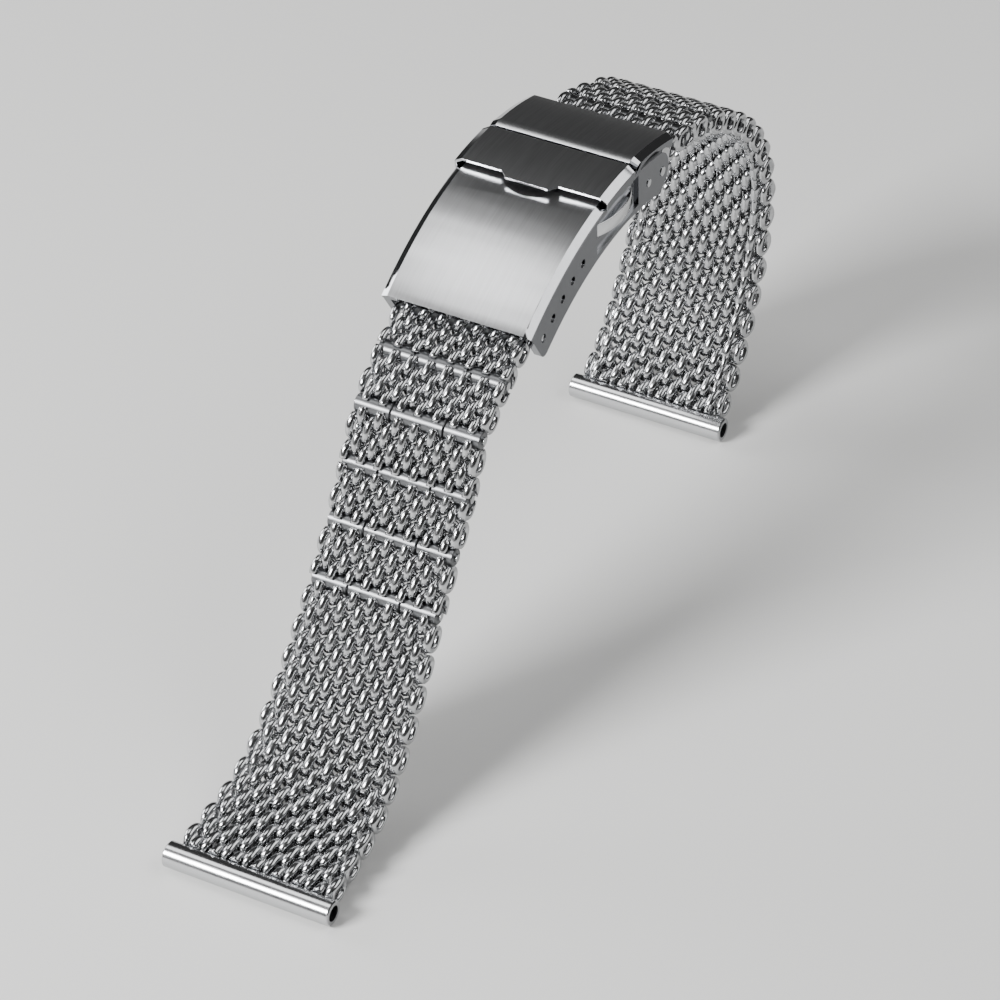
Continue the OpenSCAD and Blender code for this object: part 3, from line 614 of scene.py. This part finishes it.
def fileWallCorners(build):
    # the lowest corner of each side wall, filed round; its edge runs across the wall, and no
    # other edge of the cover is as low
    lowest = min(v.co.z for v in build.verts)
    corners = [e for e in build.edges if all(v.co.z < lowest + near * mm for v in e.verts)]
    bmesh.ops.bevel(build, geom=corners, offset=clasp["wallCorner"] * mm, offset_type="OFFSET",
                    segments=clasp["wallCornerSteps"], profile=0.5, affect="EDGES",
                    clamp_overlap=True)


# End block

block = {
    "radius": 45.9,         # outer face, from the clasp's centre
    "bevelDrop": 0.55,
    "flatHalf": 9.0,        # half the width of the brushed face
    "halfWidth": 9.9,
    "setBack": 1.6,         # how far the solid's front edge is set back under the lip
    "proud": 0.02,          # how far the skin stands off the solid, and at its sides
    "sideProud": 0.01,
    "sheet": 0.3,
    "innerShare": 0.988,    # width of the sheet's inner face, as a share of its outer face's
    "end": 16.25,           # end of the block, degrees from the clasp's highest point
    "lipRadius": 2.6,       # radius of the rolled lip, and how far it turns down
    "lipTurn": 28,
    "lipSteps": 14,
    "arcSteps": 26,
    "nose": 1.37,           # flap's axis to the lip's edge, along the clasp
    "foot": [[1.45, -0.4], [1.41, 0.2]],  # front of the skin below the lip: along, up
    "round": 0.04,
    "brushedFacing": 0.868, # the lip is brushed as far as its edge
}


def setBackFront(mesh):
    # the copy's upper front edge is set back, so that it stays under the rolled lip of the skin
    x, y, z = pointsOf(mesh).T
    y, z = y / mm - claspCentre[0], z / mm - claspCentre[1]
    angle, radius = np.arctan2(y, z), np.hypot(y, z)
    high = radius > block["radius"] - block["bevelDrop"] - near
    front = high & (angle < angle[high].min() + near / block["radius"])
    angle = angle + np.where(front, block["setBack"] / radius, 0)
    moved = np.stack([x, (claspCentre[0] + radius * np.sin(angle)) * mm,
                      (claspCentre[1] + radius * np.cos(angle)) * mm], -1)
    mesh.vertices.foreach_set("co", moved.astype(np.float32).ravel())
    mesh.update()


def buildBlockSkin():
    # a bevelled profile carried along a path in the plane of Y and Z: up the front past the
    # flap's corner, round the lip by the turn given, and along the block's own arc
    outer = block["radius"] + block["proud"]
    lip = np.linspace(math.radians(block["lipTurn"]), 0, block["lipSteps"])
    run = block["lipRadius"] * math.sin(lip[0])
    along = block["nose"] + run - block["lipRadius"] * np.sin(lip)
    height = outer - clasp["hingeRadius"] - block["lipRadius"] * (1 - np.cos(lip))
    local = np.vstack([block["foot"], np.column_stack([along, height])])
    start = hingeLean + (block["nose"] + run) / outer
    arc = np.linspace(start, math.radians(block["end"]), block["arcSteps"])[1:]
    path = np.vstack([flapAxis + local[:, :1] * alongAxis + local[:, 1:] * upAxis,
                      onArc(outer, arc)])
    footCount = len(block["foot"])
    lipOutward = -np.sin(lip)[:, None] * alongAxis + np.cos(lip)[:, None] * upAxis
    outward = np.vstack([np.tile(-alongAxis, (footCount, 1)), lipOutward,
                         np.column_stack([np.sin(arc), np.cos(arc)])])
    flat, half = block["flatHalf"], block["halfWidth"] + block["sideProud"]
    across = mirrored([flat / 2, flat, half])
    fall = np.where(np.abs(across) > flat + near, block["bevelDrop"], 0)
    fall = fall * (np.arange(len(path)) >= footCount)[:, None]
    skins = []
    for depth, share in ((0, 1), (block["sheet"], block["innerShare"])):
        yz = path[:, None, :] - (fall + depth)[..., None] * outward[:, None, :]
        x = np.broadcast_to((across * share)[None, :, None], yz.shape[:2] + (1,))
        skins.append(np.concatenate([x, yz], -1))
    verts, quads, caps = sheetBetween(*skins)
    obj = makeObject("endBlockSkin", verts, quads, brushedSteel, fold=crease["sheet"])
    claspCoordinates(obj.data)
    finishAndShadeByFacing(obj.data, block["brushedFacing"])
    roundEdges(obj, block["round"])
    carry(obj, "clasp_cover")


# Finish of the CAD nodes, and softened copies of the pressed and filed ones

finishes = {
    "middle_blade": bladeSteel, "lower_blade": bladeSteel,
    "button_spring": springSteel, "adjust_bar_spring": springSteel, "rear_bar_spring": springSteel,
}
softened = {
    # how far the rounding reaches from an edge, and the slot
    "clasp_cover": (0.1, "brushed_clasp"),
    "end_block": (0.12, "brushed_clasp"),
    "button_right": (0.16, "polished_button"),
    "button_left": (0.16, "polished_button"),
}


def softenEdges(node, width):
    # a merged copy of the node, with its sharp edges turned to small round ones
    mesh = frame["nodes"][node].data.copy()
    build = bmesh.new()
    build.from_mesh(mesh)
    bmesh.ops.remove_doubles(build, verts=build.verts, dist=1e-7)
    bmesh.ops.dissolve_limit(build, angle_limit=math.radians(0.5), verts=build.verts,
                             edges=build.edges)
    if node == "clasp_cover":
        fileWallCorners(build)
    build.to_mesh(mesh)
    build.free()
    mesh.name = node + "Soft"
    obj = bpy.data.objects.new("".join(w.capitalize() for w in node.split("_")) + "Soft", mesh)
    bpy.context.scene.collection.objects.link(obj)
    if node == "end_block":
        setBackFront(mesh)
    roundEdges(obj, width)
    return obj


for name, obj in frame["nodes"].items():
    obj.data.materials.clear()
    obj.data.materials.append(finishes.get(name, pinSteel))
for name, (width, slot) in softened.items():
    soft = softenEdges(name, width)
    if slot == "brushed_clasp":
        claspCoordinates(soft.data)
        finishAndShadeByFacing(soft.data)
    else:
        soft.data.materials.clear()
        soft.data.materials.append(buttonSteel)
    body = [b for b, nodes in bodies.items() if name in nodes][0]
    carry(soft, body, name)
print("clasp finished")


# Safety flap

flap = {
    "radius": 45.9,         # outer face, from the clasp's centre
    "length": 7.0,          # hinge to free edge
    "tabHalf": 2.8,         # half the width of the finger tab
    "tabReach": 1.0,        # how far the tab stands out, and the run of its sloping ends
    "flatHalf": 9.2,        # half the width of the brushed face
    "halfWidth": 10.2,      # half the whole width
    "bevelDrop": 0.6,
    "sheet": 0.3,           # thickness of the pressed sheet
    "innerFlatHalf": 9.062, # half the width of the flat inside the sheet
    "innerDrop": 0.85,      # share of the bevel's drop there
    "curlTurns": [8, 16, 22, 25, 28, 32, 38, 46, 56, 68, 80, 92],  # degrees about the hinge
    "cornerReach": 1.29,    # hinge's axis to the corner beside the end block
    "cornerEnd": 0.7,       # turn where the curl leaves that corner, and over how much, in radians
    "cornerFade": 0.9,
    "cheekBelow": 0.03,     # top of the cheeks below the bevels' lower edges
    "cheekDrop": 1.1,       # height of the cheeks that hang outside the cover's walls
    "cheekInner": 9.93,
    "round": 0.05,
    "steps": 24,            # from the free edge to the hinge, and along a cheek
    "cheekSteps": 20,
}


def flapSkin(across, drop):
    # straight run: points at the flap's radius less the drop, from the free edge to the hinge;
    # curl: on round the hinge's axis by a quarter turn, first straight on to a corner, where the
    # radius is the knuckle's over the turn's cosine, then eased back to the knuckle's radius
    slope = (flap["tabHalf"] + flap["tabReach"] - np.abs(across)) / flap["tabReach"]
    reach = flap["tabReach"] * np.clip(slope, 0, 1)
    left = np.linspace(1, 0, flap["steps"])[:, None]
    angle = hingeLean - left * (flap["length"] + reach) / flap["radius"]
    run = (flap["radius"] - drop) + 0 * angle
    bend = np.radians(flap["curlTurns"])
    knuckleRadius = flap["radius"] - clasp["hingeRadius"]
    corner = np.minimum(knuckleRadius / np.maximum(np.cos(bend), 0.1), flap["cornerReach"])
    fade = eased(np.clip((bend - flap["cornerEnd"]) / flap["cornerFade"], 0, 1))
    corner = corner + (knuckleRadius - corner) * fade
    turn = hingeLean + bend[:, None] + 0 * drop
    curl = corner[:, None] - drop
    y = np.vstack([claspCentre[0] + run * np.sin(angle), flapAxis[0] + curl * np.sin(turn)])
    z = np.vstack([claspCentre[1] + run * np.cos(angle), flapAxis[1] + curl * np.cos(turn)])
    return np.stack([across + 0 * y, y, z], -1)


def flapCheek():
    # side view of a cheek: its upper edge, half a turn about its own middle height at the hinge,
    # and its lower edge back to the free end
    high = flap["radius"] - flap["bevelDrop"] - flap["cheekBelow"]
    low = high - flap["cheekDrop"]
    steps = flap["cheekSteps"]
    angle = np.linspace(hingeLean - flap["length"] / flap["radius"], hingeLean, steps)
    turn = np.linspace(hingeLean, hingeLean + math.pi, steps)[1:-1]
    middle = claspCentre + (high + low) / 2 * upAxis
    cap = middle + flap["cheekDrop"] / 2 * np.column_stack([np.sin(turn), np.cos(turn)])
    return np.vstack([onArc(high, angle), cap, onArc(low, angle[::-1])])


def buildFlap():
    # the pressed sheet with its finger tab, and a cheek on either side
    foot, flat, half = flap["tabHalf"] + flap["tabReach"], flap["flatHalf"], flap["halfWidth"]
    inside = [flap["tabHalf"] / 2, flap["tabHalf"], foot, (foot + flat) / 2]
    across = mirrored(inside + [flat, half])
    innerAcross = mirrored(inside + [flap["innerFlatHalf"], flap["cheekInner"]])
    drop = np.where(np.abs(across) > flat + near, flap["bevelDrop"], 0)
    outline = flapCheek()
    parts = {
        "safetyFlapSheet": sheetBetween(
            flapSkin(across, drop),
            flapSkin(innerAcross, drop * flap["innerDrop"] + flap["sheet"])),
        "safetyFlapCheekRight": plateAcross(outline, flap["cheekInner"], half),
        "safetyFlapCheekLeft": plateAcross(outline, -half, -flap["cheekInner"]),
    }
    for name, (verts, quads, caps) in parts.items():
        obj = makeObject(name, verts, quads, polishedSteel, caps=caps, fold=crease["sheet"])
        claspCoordinates(obj.data)
        finishAndShadeByFacing(obj.data, bevelFacing=0)
        roundEdges(obj, flap["round"])
        carry(obj, "safety_flap",
              "safety_flap" if name == "safetyFlapSheet" else None)


buildFlap()
buildBlockSkin()
print("flap and block made")


# Floor, light and camera

studio = {
    "floorHalf": 3,
    "floorColor": (0.74, 0.74, 0.73),
    "floorRoughness": 0.6,
    "worldStrength": 0.05,
    "lights": [
        # place, aim, size and power of each softbox
        ((-0.22, 0, 0.6), (0, 0, 0.03), (0.28, 0.24), 0.8),
        ((0.38, 0.2, 0.56), (0, 0, 0.03), (0.86, 0.36), 2.8),
        ((-0.3, -0.5, 0.4), (0, -0.02, 0.03), (0.26, 0.2), 9.0),
        ((-0.65, 0.02, 0.24), (0, 0, 0.03), (0.3, 0.3), 2.0),
    ],
    "sensor": 36,
    "lens": 154.945,
    "cameraPlace": (0.194525, -0.369258, 0.338863),
    "cameraTilt": 52.2965,  # degrees up from straight down
    "cameraTurn": 27.6532,  # and round from the front
}


def addFloor():
    half = studio["floorHalf"]
    mesh = bpy.data.meshes.new("studioFloor")
    mesh.from_pydata([(-half, -half, 0), (half, -half, 0), (half, half, 0), (-half, half, 0)], [],
                     [(0, 1, 2, 3)])
    floor = bpy.data.objects.new("studioFloor", mesh)
    bpy.context.scene.collection.objects.link(floor)
    mat = bpy.data.materials.new("paleFloor")
    mat.use_nodes = True
    shader = mat.node_tree.nodes["Principled BSDF"]
    shader.inputs["Base Color"].default_value = (*studio["floorColor"], 1)
    shader.inputs["Roughness"].default_value = studio["floorRoughness"]
    mesh.materials.append(mat)


def addLights():
    world = bpy.data.worlds.new("studioWorld")
    bpy.context.scene.world = world
    world.use_nodes = True
    world.node_tree.nodes["Background"].inputs["Color"].default_value = (1, 1, 1, 1)
    world.node_tree.nodes["Background"].inputs["Strength"].default_value = studio["worldStrength"]
    for i, (place, aim, size, power) in enumerate(studio["lights"]):
        light = bpy.data.lights.new(f"softbox{i + 1}", "AREA")
        light.shape = "RECTANGLE"
        light.size, light.size_y = size
        light.energy = power
        obj = bpy.data.objects.new(f"softbox{i + 1}", light)
        obj.location = place
        obj.rotation_euler = (Vector(aim) - Vector(place)).to_track_quat("-Z", "Y").to_euler()
        bpy.context.scene.collection.objects.link(obj)


def addCamera():
    data = bpy.data.cameras.new("productCamera")
    data.sensor_width = studio["sensor"]
    data.lens = studio["lens"]
    data.clip_start = 0.01
    camera = bpy.data.objects.new("productCamera", data)
    camera.location = studio["cameraPlace"]
    camera.rotation_euler = (math.radians(studio["cameraTilt"]), 0,
                             math.radians(studio["cameraTurn"]))
    bpy.context.scene.collection.objects.link(camera)
    bpy.context.scene.camera = camera


addFloor()
addLights()
addCamera()
print("studio set")
